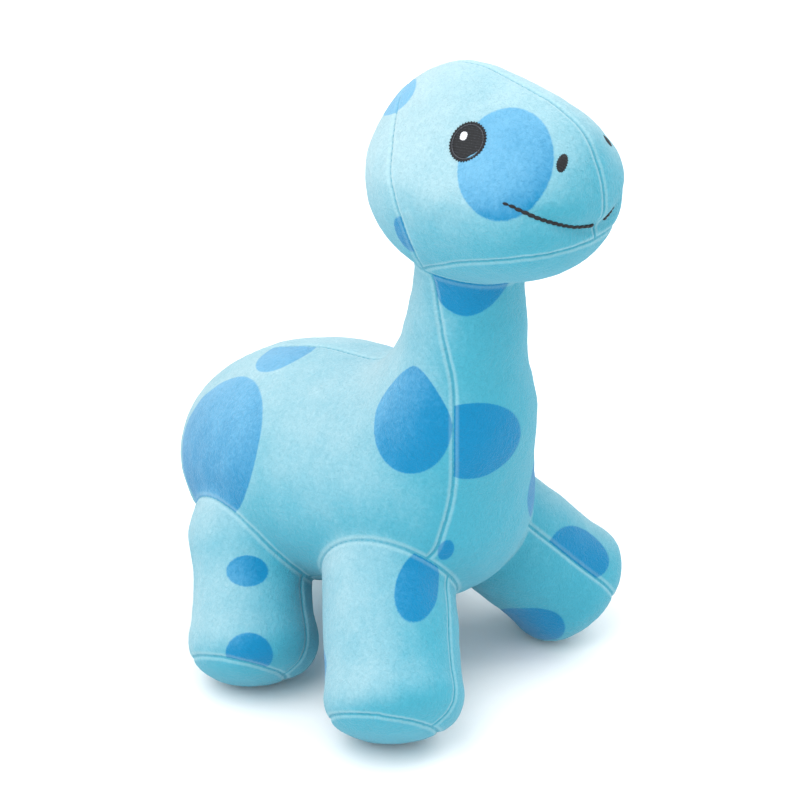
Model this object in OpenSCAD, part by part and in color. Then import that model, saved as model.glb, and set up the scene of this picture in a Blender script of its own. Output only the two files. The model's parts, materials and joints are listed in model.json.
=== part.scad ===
// Stuffed long-necked dinosaur: soft pile panels sewn round fibre stuffing.
// It faces -Y and stands on four splayed feet at Z = 0. Its right side is -X.
// Each limb ends in a stuffed ball that sits in a round pocket of the body it is sewn to.

/* [Trunk] */
// Radius of the trunk at its widest ring
trunk_radius = 49; // [46:0.5:51]
// Length from the widest ring to the front of the chest
trunk_front = 74; // [72:1:77]
// Length from the widest ring to the back of the rump
trunk_back = 77; // [74:1:80]
// Height of the widest ring's centre above the ground
trunk_height = 80; // [79:0.5:82]
// How far the rump hangs below the chest, in degrees
trunk_droop = 6; // [4:1:8]
// Width of the gusset under the belly and up the chest
gusset_width = 46; // [40:1:50]

/* [Neck] */
// Radius of the shoulder ball at the foot of the neck
shoulder_radius = 29; // [28:0.5:30]
// Radius of the neck where it is slimmest
neck_radius = 20.5; // [20:0.5:21.5]
// Length of the neck from the shoulder ball's centre to the head
neck_length = 70; // [69:0.5:72]
// Lean of the neck to the front, in degrees
neck_lean = 6; // [5:0.5:7]

/* [Head] */
// Radius of the head at its widest ring
head_radius = 38; // [37:0.5:39]
// Length from the widest ring to the snout
head_front = 58; // [56:1:60]
// Length from the widest ring to the back of the head
head_back = 39; // [38:0.5:40]
// How far the snout drops, in degrees
nose_drop = 5; // [3:1:6]
// Diameter of an embroidered eye
eye_diameter = 15; // [13:0.5:16]

/* [Legs] */
// Radius of the stuffed ball at the top of a leg
hip_radius = 26; // [25:0.5:26.5]
// Radius of a leg at its waist
leg_waist = 21.5; // [20:0.5:22]
// Radius of a foot
foot_radius = 26; // [25:0.5:26.5]
// Length of a front leg from the ball's centre to its sole
front_leg_length = 61; // [60:0.5:62]
// Length of a hind leg from the ball's centre to its sole
hind_leg_length = 56.5; // [55.5:0.5:57.5]

/* [Tail] */
// Radius of the stuffed ball at the root of the tail
tail_radius = 18; // [17:0.5:18.5]
// Length of the tail from the ball's centre to its tip
tail_length = 57; // [52:1:58]

/* [Cloth] */
// Thickness of the pile cloth
cloth = 1.2; // [1:0.1:1.4]

/* [Hidden] */

round_fn = 64;
outline_steps = 20;
far = 200;
seam_gap = 0.1;
move_gap = 0.4;
flare_play = 0.5;
flare_length = 32;
right = -1;
left = 1;

// Places. centre_y brings the middle of the whole toy over the origin.
centre_y = -9.7;
trunk_centre = [0, centre_y + 12, trunk_height];
shoulder_centre = [0, centre_y - 31, trunk_height + 30];
head_centre = [0, centre_y - 40, trunk_height + 133];
front_hip = [30, centre_y - 24, 55];
hind_hip = [34, centre_y + 41, 52];
tail_root = [6, centre_y + 82, 60];

// Leg directions: splay from straight down, then turn from sideways to the front
front_aim = [46, 41.5];
hind_aim = [38.5, 40.5];
// Tail direction: angle from straight up, then turn from the left side to the back
tail_aim = [112, 38];

// Joint travel that the pockets leave room for, in degrees
leg_travel = 25;
neck_travel = 20;
nod_travel = 15;
tail_travel = 25;

neck_split = neck_length / 2;
neck_base = neck_radius + 4;
neck_middle = neck_radius + 1;
belly_top = trunk_height - 18;
belly_back = centre_y + 66;
sole_radius = foot_radius * 0.74;
leg_turn = 150;
bulb_depth = 17;
sole_depth = 4;
tail_shaft = tail_radius - 2;
tip_radius = 8;

// Head seams: where the back panels start behind the widest ring, and the chin's height and tilt
head_back_start = 4;
chin_drop = 24;
chin_tilt = 8;

// Embroidery: thickness, and each feature's turn from straight ahead and lift, in degrees
thread = 0.9;
glint_thread = 0.4;
eye_aim = [62, 38];
nostril_aim = [16, 20];
rim_width = 1.6;
glint_radius = 1.9;
glint_shift = [-2, 2];
nostril_size = [2.4, 1.8];
mouth_width = 1.8;
mouth_length = 27;
mouth_tilt = 31;
mouth_place = [0, head_centre[1] - head_front, head_centre[2] - 8];

// ---- outlines: lists of [radius, distance along the axis] ----

// Egg from its back pole to its front pole, shrunk by inset
function egg_outline(radius, front, back, inset) = [
    for (i = [0 : outline_steps])
        let (a = 180 * i / outline_steps, long = a < 90 ? back : front)
        [(radius - inset) * sin(a), (long - inset) * cos(a)]
];

function shaft_start(radius, shaft) = sqrt(radius * radius - shaft * shaft);

// Ball from its far pole up to where it has narrowed to the shaft
function ball_outline(radius, shaft) =
    let (last = 180 - asin(shaft / radius))
    [
        for (i = [0 : outline_steps])
            let (a = last * i / outline_steps)
            [radius * sin(a), -radius * cos(a)]
    ];

// Smooth change of radius between two places on the axis, ends left out
function ease_outline(r0, z0, r1, z1) = [
    for (i = [1 : outline_steps / 2 - 1])
        let (t = 2 * i / outline_steps)
        [r0 + (r1 - r0) * (1 - cos(180 * t)) / 2, z0 + (z1 - z0) * t]
];

// Quarter of an ellipse from its widest ring at z0 to radius flat at z1
function end_outline(radius, flat, z0, z1) = [
    for (i = [0 : outline_steps / 2])
        let (a = 180 * i / outline_steps)
        [flat + (radius - flat) * cos(a), z0 + (z1 - z0) * sin(a)]
];

function leg_outline(length, inset) =
    let (ball = hip_radius - inset, waist = leg_waist - inset)
    let (foot = foot_radius - inset, bulb = length - bulb_depth)
    concat(
        ball_outline(ball, waist),
        ease_outline(waist, shaft_start(ball, waist), foot, bulb),
        end_outline(foot, sole_radius, bulb, length - inset),
        [[0, length - inset]]
    );

function tail_outline(inset) = concat(
    ball_outline(tail_radius - inset, tail_shaft - inset),
    end_outline(tip_radius - inset, 0, tail_length - tip_radius, tail_length - inset)
);

function neck_lower_outline(inset) =
    let (ball = shoulder_radius - inset, base = neck_base - inset, middle = neck_middle - inset)
    concat(
        ball_outline(ball, base),
        ease_outline(base, shaft_start(ball, base), middle, neck_split),
        [[middle, neck_split]]
    );

function neck_upper_outline(inset) =
    let (top = neck_radius - inset)
    concat(
        [[neck_middle - inset, neck_split + move_gap]],
        end_outline(top, 0, neck_length, neck_length + top)
    );

// Ball up to where it meets a cone that is mouth wide at the ball's middle and widens by slope
function pocket_outline(radius, mouth, slope) =
    let (square = 1 + slope * slope, half = mouth * slope)
    let (meet = (sqrt(half * half - square * (mouth * mouth - radius * radius)) - half) / square)
    let (last = acos(-meet / radius))
    concat(
        [
            for (i = [0 : outline_steps])
                let (a = last * i / outline_steps)
                [radius * sin(a), -radius * cos(a)]
        ],
        [[mouth + slope * flare_length, flare_length], [0, flare_length]]
    );

function reversed(list) = [for (i = [len(list) - 1 : -1 : 0]) list[i]];

// ---- building blocks ----

module spin(outline, angle = 360) {
    rotate_extrude(angle = angle, $fn = round_fn)
        polygon(outline);
}

// Cloth between an outer and an inner outline, over part of a turn
module spin_cloth(outer, inner, angle) {
    spin(concat(outer, reversed(inner)), angle);
}

module above(height) {
    translate([-far, -far, height])
        cube([2 * far, 2 * far, 2 * far]);
}

// Everything on one side of the plane X = 0, less half a seam
module side_space(side) {
    translate([side > 0 ? seam_gap / 2 : -far - seam_gap / 2, -far, -far])
        cube([far, 2 * far, 3 * far]);
}

module at_trunk() {
    translate(trunk_centre)
        rotate([-90 - trunk_droop, 0, 0])
            children();
}

module at_head() {
    translate(head_centre)
        rotate([-90 + nose_drop, 0, 0])
            children();
}

module at_neck() {
    translate(shoulder_centre)
        rotate([neck_lean, 0, 0])
            children();
}

module at_leg(hip, aim, side) {
    translate([side * hip[0], hip[1], hip[2]])
        rotate([0, 180 - aim[0], side > 0 ? -aim[1] : 180 + aim[1]])
            children();
}

module at_tail() {
    translate(tail_root)
        rotate([0, tail_aim[0], tail_aim[1]])
            children();
}

// Places a feature on the head so that its local Z points out
module at_face(side, aim) {
    translate(head_centre)
        rotate([90 - aim[1], 0, side * aim[0]])
            children();
}

// Round pocket for a ball, flared so that the shaft can swing by travel
module pocket(radius, shaft, travel) {
    spin(pocket_outline(radius + move_gap, shaft / cos(travel) + flare_play, tan(travel)));
}

// ---- trunk ----

module trunk_solid(inset) {
    at_trunk()
        spin(egg_outline(trunk_radius, trunk_front, trunk_back, inset));
}

module trunk_pockets() {
    at_neck()
        pocket(shoulder_radius, neck_base, neck_travel);
    for (side = [right, left]) {
        at_leg(front_hip, front_aim, side)
            pocket(hip_radius, leg_waist, leg_travel);
        at_leg(hind_hip, hind_aim, side)
            pocket(hip_radius, leg_waist, leg_travel);
    }
    at_tail()
        pocket(tail_radius, tail_shaft, tail_travel);
}

module trunk_shell() {
    difference() {
        trunk_solid(0);
        trunk_solid(cloth);
        trunk_pockets();
    }
}

// Space of the gusset: a strip under the belly that rises up the chest
module gusset_space(width) {
    translate([-width / 2, -far, 0])
        cube([width, far + belly_back, belly_top]);
    translate([-width / 2, -far, 0])
        cube([width, far + shoulder_centre[1], far]);
}

module trunk_side(side) {
    color("paleturquoise")
        difference() {
            intersection() {
                trunk_shell();
                side_space(side);
            }
            gusset_space(gusset_width);
        }
}

module belly_gusset() {
    color("lightblue")
        intersection() {
            trunk_shell();
            gusset_space(gusset_width - 2 * seam_gap);
        }
}

module trunk_stuffing() {
    color("white")
        difference() {
            trunk_solid(cloth + seam_gap);
            trunk_pockets();
        }
}

// ---- neck, in two lengths that turn on each other ----

// Starts at turn from the left and goes round by angle
module neck_lower_cloth(turn, angle, colour) {
    color(colour)
        at_neck()
            rotate([0, 0, turn])
                spin_cloth(neck_lower_outline(0), neck_lower_outline(cloth), angle);
}

module neck_upper_cloth(turn, angle, colour) {
    color(colour)
        at_neck()
            rotate([0, 0, turn])
                spin_cloth(neck_upper_outline(0), neck_upper_outline(cloth), angle);
}

module neck_lower_stuffing() {
    color("white")
        at_neck()
            spin(concat(neck_lower_outline(cloth + seam_gap), [[0, neck_split]]));
}

module neck_upper_stuffing() {
    color("white")
        at_neck()
            spin(concat([[0, neck_split + move_gap]], neck_upper_outline(cloth + seam_gap)));
}

// ---- head ----

module head_solid(inset) {
    at_head()
        spin(egg_outline(head_radius, head_front, head_back, inset));
}

module head_pocket() {
    at_neck()
        translate([0, 0, neck_length])
            rotate([180, 0, 0])
                pocket(neck_radius + 1.2, neck_radius, nod_travel);
}

module head_shell() {
    difference() {
        head_solid(0);
        head_solid(cloth);
        head_pocket();
    }
}

module behind_head(gap) {
    at_head()
        translate([-far, -far, head_back_start + gap])
            cube([2 * far, 2 * far, far]);
}

module under_jaw(gap) {
    translate(head_centre)
        rotate([chin_tilt, 0, 0])
            translate([-far, -far, -chin_drop - gap - far])
                cube([2 * far, 2 * far, far]);
}

module face_panel(side) {
    color("powderblue")
        difference() {
            intersection() {
                head_shell();
                side_space(side);
            }
            behind_head(0);
            under_jaw(0);
        }
}

module head_back_panel(side) {
    color("paleturquoise")
        difference() {
            intersection() {
                head_shell();
                side_space(side);
                behind_head(seam_gap);
            }
            under_jaw(0);
        }
}

module chin_panel() {
    color("lightblue")
        intersection() {
            head_shell();
            under_jaw(seam_gap);
        }
}

module head_stuffing() {
    color("white")
        difference() {
            head_solid(cloth + seam_gap);
            head_pocket();
        }
}

// Layer of thread on the face, from low to high above the cloth
module thread_layer(low, high) {
    difference() {
        head_solid(-high);
        head_solid(-low);
    }
}

module eye_rim(side) {
    color("black")
        intersection() {
            thread_layer(seam_gap, thread);
            at_face(side, eye_aim)
                difference() {
                    cylinder(d = eye_diameter, h = far, $fn = round_fn);
                    cylinder(d = eye_diameter - 2 * rim_width, h = far, $fn = round_fn);
                }
        }
}

module eye_disc(side) {
    color("black")
        intersection() {
            thread_layer(seam_gap, thread);
            at_face(side, eye_aim)
                cylinder(d = eye_diameter - 2 * rim_width - seam_gap, h = far, $fn = round_fn);
        }
}

module eye_glint(side) {
    color("white")
        intersection() {
            thread_layer(thread + seam_gap, thread + glint_thread);
            at_face(side, eye_aim)
                translate([glint_shift[0], glint_shift[1], 0])
                    cylinder(r = glint_radius, h = far, $fn = round_fn);
        }
}

// Upright oval made of three round stitches in a column
module nostril(side) {
    color("black")
        intersection() {
            thread_layer(seam_gap, thread);
            at_face(side, nostril_aim)
                for (step = [-1, 0, 1])
                    translate([0, step * nostril_size[1], 0])
                        cylinder(r = nostril_size[0], h = far, $fn = round_fn);
        }
}

// Smile: a slice of the thread layer round the front of the snout, rising to the cheeks
module mouth_stitch() {
    color("black")
        intersection() {
            thread_layer(seam_gap, thread);
            translate(mouth_place)
                rotate([mouth_tilt, 0, 0])
                    translate([-far / 2, -far, -mouth_width / 2])
                        cube([far, far + mouth_length, mouth_width]);
        }
}

// ---- legs ----

module leg_solid(hip, aim, side, length, inset) {
    intersection() {
        at_leg(hip, aim, side)
            rotate([0, 0, leg_turn])
                spin(leg_outline(length, inset));
        above(inset);
    }
}

module leg_shell(hip, aim, side, length) {
    difference() {
        leg_solid(hip, aim, side, length, 0);
        leg_solid(hip, aim, side, length, cloth);
    }
}

// Half of a leg's cloth above the sole seam: facing is 1 inside, -1 outside
module leg_panel(hip, aim, side, length, facing) {
    start = facing > 0 ? seam_gap / 2 : -far - seam_gap / 2;
    color(facing > 0 ? "lightblue" : "paleturquoise")
        intersection() {
            leg_shell(hip, aim, side, length);
            at_leg(hip, aim, side)
                translate([start, -far, -far])
                    cube([far, 2 * far, far + length - sole_depth]);
        }
}

module leg_sole(hip, aim, side, length) {
    color("skyblue")
        intersection() {
            leg_shell(hip, aim, side, length);
            at_leg(hip, aim, side)
                translate([-far, -far, length - sole_depth + seam_gap])
                    cube([2 * far, 2 * far, far]);
        }
}

module leg_stuffing(hip, aim, side, length) {
    color("white")
        leg_solid(hip, aim, side, length, cloth + seam_gap);
}

module front_leg_outer(side) { leg_panel(front_hip, front_aim, side, front_leg_length, -1); }
module front_leg_inner(side) { leg_panel(front_hip, front_aim, side, front_leg_length, 1); }
module front_leg_sole(side) { leg_sole(front_hip, front_aim, side, front_leg_length); }
module front_leg_stuffing(side) { leg_stuffing(front_hip, front_aim, side, front_leg_length); }
module hind_leg_outer(side) { leg_panel(hind_hip, hind_aim, side, hind_leg_length, -1); }
module hind_leg_inner(side) { leg_panel(hind_hip, hind_aim, side, hind_leg_length, 1); }
module hind_leg_sole(side) { leg_sole(hind_hip, hind_aim, side, hind_leg_length); }
module hind_leg_stuffing(side) { leg_stuffing(hind_hip, hind_aim, side, hind_leg_length); }

// ---- tail ----

module tail_panel(side) {
    color("paleturquoise")
        at_tail()
            rotate([0, 0, side > 0 ? -90 : 90])
                spin_cloth(tail_outline(0), tail_outline(cloth), 180);
}

module tail_stuffing() {
    color("white")
        at_tail()
            spin(tail_outline(cloth + seam_gap));
}

trunk_side(right);  // trunk_side_right
trunk_side(left);  // trunk_side_left
belly_gusset();
trunk_stuffing();
neck_lower_cloth(90, 90, "paleturquoise");  // neck_lower_side_right
neck_lower_cloth(0, 90, "paleturquoise");  // neck_lower_side_left
neck_lower_cloth(180, 180, "lightblue");  // neck_lower_gusset
neck_lower_stuffing();
neck_upper_cloth(90, 90, "paleturquoise");  // neck_upper_side_right
neck_upper_cloth(0, 90, "paleturquoise");  // neck_upper_side_left
neck_upper_cloth(180, 180, "lightblue");  // neck_upper_gusset
neck_upper_stuffing();
face_panel(right);  // face_panel_right
face_panel(left);  // face_panel_left
head_back_panel(right);  // head_back_right
head_back_panel(left);  // head_back_left
chin_panel();
head_stuffing();
eye_rim(right);  // eye_rim_right
eye_rim(left);  // eye_rim_left
eye_disc(right);  // eye_disc_right
eye_disc(left);  // eye_disc_left
eye_glint(right);  // eye_glint_right
eye_glint(left);  // eye_glint_left
nostril(right);  // nostril_right
nostril(left);  // nostril_left
mouth_stitch();
front_leg_outer(right);  // front_leg_right_outer
front_leg_inner(right);  // front_leg_right_inner
front_leg_sole(right);  // front_leg_right_sole
front_leg_stuffing(right);  // front_leg_right_stuffing
front_leg_outer(left);  // front_leg_left_outer
front_leg_inner(left);  // front_leg_left_inner
front_leg_sole(left);  // front_leg_left_sole
front_leg_stuffing(left);  // front_leg_left_stuffing
hind_leg_outer(right);  // hind_leg_right_outer
hind_leg_inner(right);  // hind_leg_right_inner
hind_leg_sole(right);  // hind_leg_right_sole
hind_leg_stuffing(right);  // hind_leg_right_stuffing
hind_leg_outer(left);  // hind_leg_left_outer
hind_leg_inner(left);  // hind_leg_left_inner
hind_leg_sole(left);  // hind_leg_left_sole
hind_leg_stuffing(left);  // hind_leg_left_stuffing
tail_panel(right);  // tail_panel_right
tail_panel(left);  // tail_panel_left
tail_stuffing();
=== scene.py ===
import json
import math

import bmesh
import bpy
import numpy as np
from mathutils import Matrix, Vector, kdtree, noise

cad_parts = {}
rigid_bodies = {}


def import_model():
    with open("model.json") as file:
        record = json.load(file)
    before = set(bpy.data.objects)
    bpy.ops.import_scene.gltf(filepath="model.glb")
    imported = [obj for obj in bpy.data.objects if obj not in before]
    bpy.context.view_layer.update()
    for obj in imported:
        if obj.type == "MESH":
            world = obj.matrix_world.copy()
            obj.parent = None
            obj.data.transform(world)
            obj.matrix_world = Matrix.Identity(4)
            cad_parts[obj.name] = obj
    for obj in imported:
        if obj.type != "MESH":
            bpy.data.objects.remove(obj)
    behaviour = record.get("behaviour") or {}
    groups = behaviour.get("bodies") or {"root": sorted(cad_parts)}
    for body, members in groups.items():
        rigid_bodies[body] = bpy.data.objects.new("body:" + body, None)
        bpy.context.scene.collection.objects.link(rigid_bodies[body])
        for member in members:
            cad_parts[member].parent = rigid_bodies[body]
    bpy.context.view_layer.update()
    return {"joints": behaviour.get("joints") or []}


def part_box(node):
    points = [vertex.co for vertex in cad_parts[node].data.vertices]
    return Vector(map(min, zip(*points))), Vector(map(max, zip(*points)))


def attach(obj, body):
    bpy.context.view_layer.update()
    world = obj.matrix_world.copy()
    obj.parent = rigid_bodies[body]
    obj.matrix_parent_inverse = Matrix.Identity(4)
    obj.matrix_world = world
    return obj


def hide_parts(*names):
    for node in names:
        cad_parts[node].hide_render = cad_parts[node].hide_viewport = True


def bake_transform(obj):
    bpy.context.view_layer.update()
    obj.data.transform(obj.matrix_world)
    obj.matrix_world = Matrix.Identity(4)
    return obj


for leftover in list(bpy.data.objects):
    bpy.data.objects.remove(leftover)

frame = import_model()
print("frame loaded")

# shapes are worked out in millimetres and written to the meshes in metres
millimetre = 0.001
pivot = {joint["name"]: np.array(joint["pos_m"]) / millimetre for joint in frame["joints"]}
neckRoot = pivot["neck_bend"]
headRoot = pivot["head_nod"]
tailRoot = pivot["tail_wag"]

bodyShape = {
    "trunkAt": (0, 57, -33), "trunkRadii": (50, 68, 47), "trunkPitch": -9,
    "chest": (((0, 13, -32), 42), ((0, -1, 5), 28)),
    "neck": (((0, -1, 5), 28), ((0, -6, 42), 20.5), ((0, -8, 82), 20)),
    "chestSoft": 25, "neckSoft": 18, "neckBendSoft": 10,
}
headShape = {
    "skullAt": (0, 0.3, 31.9), "skullRadii": (36.25, 38, 37.5),
    "snoutAt": (0, -29.2, 33.6), "snoutRadii": (34, 28, 29.25),
    "domeAt": (0, 0.3, 55.4), "domeRadius": 10,
    "snoutSoft": 30, "domeSoft": 20, "neckSoft": 6,
    "narrowFrom": 35.4, "narrowOver": 26, "narrowing": 0.25, "ridge": 2.5, "ridgeWidth": 14,
}
legShapes = {
    "front": {"foot": (26, -23, -33.5), "radii": (25, 23, 26), "sole": 63.8,
              "soleSeam": 57.0, "soleAim": (0.59, -0.302, -0.749)},
    "hind": {"foot": (20, -17, -33), "radii": (24.5, 20, 25), "sole": 58.8,
             "soleSeam": 52.2, "soleAim": (0.637, -0.23, -0.736)},
}
legSofts = {"knee": 12, "soleEdge": 12, "soleDome": 90, "trunk": 7, "kneeShare": 0.45}
tailShape = {
    "beads": (((-6, -16, 6), 28), ((6, 6, -3), 20.5), ((21, 20, -11), 14.5), ((35, 29, -18), 9.5)),
    "beadSoft": 14, "trunkSoft": 14,
}
groundSoft = 4


def ellipsoid(points, centre, radii, pitch=0.0):
    near = points - centre
    if pitch:
        c, s = math.cos(math.radians(pitch)), math.sin(math.radians(pitch))
        turned = [near[:, 0], c * near[:, 1] + s * near[:, 2], c * near[:, 2] - s * near[:, 1]]
        near = np.stack(turned, 1)
    scaled = np.linalg.norm(near / radii, axis=1)
    steep = np.linalg.norm(near / np.square(radii), axis=1)
    return scaled * (scaled - 1) / np.maximum(steep, 1e-9)


def taper(points, start, end, startRadius, endRadius):
    # a rounded cone between two balls
    along = end - start
    length2 = along @ along
    thinning = startRadius - endRadius
    wall2 = length2 - thinning * thinning
    near = points - start
    y = near @ along
    z = y - length2
    x2 = np.sum(np.square(near * length2 - np.outer(y, along)), axis=1)
    y2 = y * y * length2
    z2 = z * z * length2
    k = np.sign(thinning) * thinning * thinning * x2
    side = (np.sqrt(x2 * wall2 / length2) + y * thinning) / length2 - startRadius
    atStart = np.sqrt(x2 + y2) / length2 - startRadius
    atEnd = np.sqrt(x2 + z2) / length2 - endRadius
    side = np.where(np.sign(y) * wall2 * y2 < k, atStart, side)
    return np.where(np.sign(z) * wall2 * z2 > k, atEnd, side)


def joined(a, b, soft):
    h = np.maximum(soft - np.abs(a - b), 0) / soft
    return np.minimum(a, b) - h * h * h * soft / 6


def trimmed(a, b, soft):
    return -joined(-a, -b, soft)


def beads(points, balls, root, soft):
    total = None
    for (a, ra), (b, rb) in zip(balls[:-1], balls[1:]):
        piece = taper(points, root + a, root + b, ra, rb)
        total = piece if total is None else joined(total, piece, soft)
    return total


def unit(vector):
    return np.array(vector, float) / np.linalg.norm(vector)


# each leg's own directions: along it to the foot, towards the belly, and towards the toy's front
legs = {}
for pair, shape in legShapes.items():
    for side, sign in (("right", -1), ("left", 1)):
        foot = np.array(shape["foot"]) * (sign, 1, 1)
        along = unit(foot)
        forward = unit((along[1], -along[0], 0))
        forward *= -np.sign(forward[1])
        inward = unit(np.cross(along, forward))
        inward *= -np.sign(inward[2])
        legs[f"{pair}_leg_{side}"] = {
            **shape, "hip": pivot[f"{pair}_leg_{side}_swing"], "foot": foot, "along": along,
            "forward": forward, "inward": inward, "soleAim": np.array(shape["soleAim"]) * (sign, 1, 1),
        }


def legField(points, leg):
    knee = leg["foot"] * legSofts["kneeShare"]
    balls = tuple(zip((np.zeros(3), knee, leg["foot"]), leg["radii"]))
    limb = beads(points, balls, leg["hip"], legSofts["knee"])
    near = points - leg["hip"]
    reach = near @ leg["along"]
    off2 = np.sum(near * near, axis=1) - reach * reach
    sole = reach + off2 / legSofts["soleDome"] - leg["sole"]
    return trimmed(limb, sole, legSofts["soleEdge"])


def partFields(points):
    trunk = ellipsoid(points, neckRoot + bodyShape["trunkAt"], bodyShape["trunkRadii"],
                      bodyShape["trunkPitch"])
    chest = beads(points, bodyShape["chest"], neckRoot, 1)
    neck = beads(points, bodyShape["neck"], neckRoot, bodyShape["neckBendSoft"])
    body = joined(trunk, chest, bodyShape["chestSoft"])
    body = joined(body, neck, bodyShape["neckSoft"])
    # the head narrows to a ridge at the top
    rise = np.clip((points[:, 2] - headRoot[2] - headShape["narrowFrom"]) / headShape["narrowOver"], 0, 1)
    rise = rise * rise * (3 - 2 * rise)
    crest = headShape["ridge"] * rise * np.exp(-np.square(points[:, 0] / headShape["ridgeWidth"]))
    crown = np.stack([points[:, 0] * (1 + headShape["narrowing"] * rise), points[:, 1],
                      points[:, 2] - crest], 1)
    skull = ellipsoid(crown, headRoot + headShape["skullAt"], headShape["skullRadii"])
    snout = ellipsoid(crown, headRoot + headShape["snoutAt"], headShape["snoutRadii"])
    dome = ellipsoid(crown, headRoot + headShape["domeAt"], (headShape["domeRadius"],) * 3)
    head = joined(joined(skull, snout, headShape["snoutSoft"]), dome, headShape["domeSoft"])
    fields = {"body": body, "head": head}
    fields["tail"] = beads(points, tailShape["beads"], tailRoot, tailShape["beadSoft"])
    for name, leg in legs.items():
        fields[name] = legField(points, leg)
    return fields


# the face's places are the CAD nodes' own, in mm
def cornersOf(node):
    low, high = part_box(node)
    return np.array(low, float) / millimetre, np.array(high, float) / millimetre


def middleOf(node):
    low, high = cornersOf(node)
    return (low + high) / 2


# the smile rises from the middle to its corners, and its stitches draw the cloth in
smilePlan = {"pull": 2.6, "width": 3.4, "reach": 12, "fade": 5, "rise": 1.7, "wrap": 2.0, "points": 9,
             "thread": 0.8}
smileLow, smileHigh = cornersOf("mouth_stitch")
smileShare = np.linspace(1, 0, smilePlan["points"])
smileLine = np.stack([
    (smileHigh[0] - smilePlan["thread"]) * smileShare,
    smileLow[1] + (smileHigh[1] - smileLow[1]) * smileShare ** smilePlan["wrap"] - headRoot[1],
    smileLow[2] + smilePlan["thread"] + (smileHigh[2] - smileLow[2] - 2 * smilePlan["thread"])
    * smileShare ** smilePlan["rise"] - headRoot[2]], 1)


def smileCrease(points):
    crease = np.zeros(len(points))
    low = np.min(smileLine, axis=0) - smilePlan["reach"]
    high = np.max(smileLine, axis=0) + smilePlan["reach"]
    folded = (points - headRoot) * (-1, 1, 1)
    folded[:, 0] = np.abs(folded[:, 0])
    chosen = np.where(np.all((folded > low) & (folded < high), axis=1))[0]
    if not len(chosen):
        return crease
    near = folded[chosen]
    gap = np.full(len(near), smilePlan["reach"], float)
    flat = near[:, [0, 2]]
    for a, b in zip(smileLine[:-1, [0, 2]], smileLine[1:, [0, 2]]):
        share = np.clip((flat - a) @ (b - a) / ((b - a) @ (b - a)), 0, 1)
        gap = np.minimum(gap, np.linalg.norm(flat - a - share[:, None] * (b - a), axis=1))
    fade = np.clip((smileLine[0][0] + 1 - near[:, 0]) / (smilePlan["fade"] * 3), 0.15, 1)
    crease[chosen] = smilePlan["pull"] * fade * np.exp(-np.square(gap / smilePlan["width"]))
    return crease


def toyField(points):
    fields = partFields(points)
    fields["head"] = fields["head"] + smileCrease(points)
    whole = joined(fields["body"], fields["head"], headShape["neckSoft"])
    for name in legs:
        whole = joined(whole, fields[name], legSofts["trunk"])
    whole = joined(whole, fields["tail"], tailShape["trunkSoft"])
    return trimmed(whole, -points[:, 2], groundSoft)


def slopeOf(points, value):
    step = 0.05
    tilt = [(toyField(points + np.eye(3)[i] * step) - value) / step for i in range(3)]
    return np.stack(tilt, 1)


def settle(points, times, reach=3.0):
    # moves points on to the toy's surface
    for _ in range(times):
        value = toyField(points)
        slope = slopeOf(points, value)
        move = value / np.maximum(np.sum(slope * slope, axis=1), 0.05)
        points = points - np.clip(move, -reach, reach)[:, None] * slope
    return points


def outward(points):
    slope = slopeOf(points, toyField(points))
    return slope / np.maximum(np.linalg.norm(slope, axis=1), 1e-6)[:, None]


# the whole skin first, as one even mesh
skinPlan = {"roughVoxel": 3.0, "fineVoxel": 1.5, "relaxing": 3, "beadStep": 0.12, "snap": 0.12}


def roughSkin():
    bm = bmesh.new()

    def ball(centre, radii, pitch=0.0):
        place = Matrix.Translation(Vector(centre)) @ Matrix.Rotation(math.radians(pitch), 4, "X")
        place = place @ Matrix.Diagonal((*radii, 1))
        bmesh.ops.create_icosphere(bm, subdivisions=4, radius=1, matrix=place)

    ball(neckRoot + bodyShape["trunkAt"], bodyShape["trunkRadii"], bodyShape["trunkPitch"])
    ball(headRoot + headShape["skullAt"], headShape["skullRadii"])
    ball(headRoot + headShape["snoutAt"], headShape["snoutRadii"])
    ball(headRoot + headShape["domeAt"], (headShape["domeRadius"],) * 3)
    rows = [(neckRoot, bodyShape["chest"]), (neckRoot, bodyShape["neck"]),
            (tailRoot, tailShape["beads"])]
    for leg in legs.values():
        knee = leg["foot"] * legSofts["kneeShare"]
        rows.append((leg["hip"], tuple(zip((np.zeros(3), knee, leg["foot"]), leg["radii"]))))
    for root, balls in rows:
        for (a, ra), (b, rb) in zip(balls[:-1], balls[1:]):
            for t in np.arange(0, 1.001, skinPlan["beadStep"]):
                at = root + np.array(a) * (1 - t) + np.array(b) * t
                ball(at, (ra * (1 - t) + rb * t,) * 3)
    mesh = bpy.data.meshes.new("roughSkin")
    bm.to_mesh(mesh)
    bm.free()
    return mesh


def remeshed(mesh, voxel):
    # Blender's voxel remesh, read back as points and four-sided faces
    holder = bpy.data.objects.new("remeshing", mesh)
    bpy.context.scene.collection.objects.link(holder)
    modifier = holder.modifiers.new("voxels", "REMESH")
    modifier.mode = "VOXEL"
    modifier.voxel_size = voxel
    graph = bpy.context.evaluated_depsgraph_get()
    made = holder.evaluated_get(graph).to_mesh()
    points = np.zeros(len(made.vertices) * 3)
    made.vertices.foreach_get("co", points)
    corners = np.zeros(len(made.loops), int)
    made.loops.foreach_get("vertex_index", corners)
    bpy.data.objects.remove(holder)
    bpy.data.meshes.remove(mesh)
    return points.reshape(-1, 3), corners.reshape(-1, 4)


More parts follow.
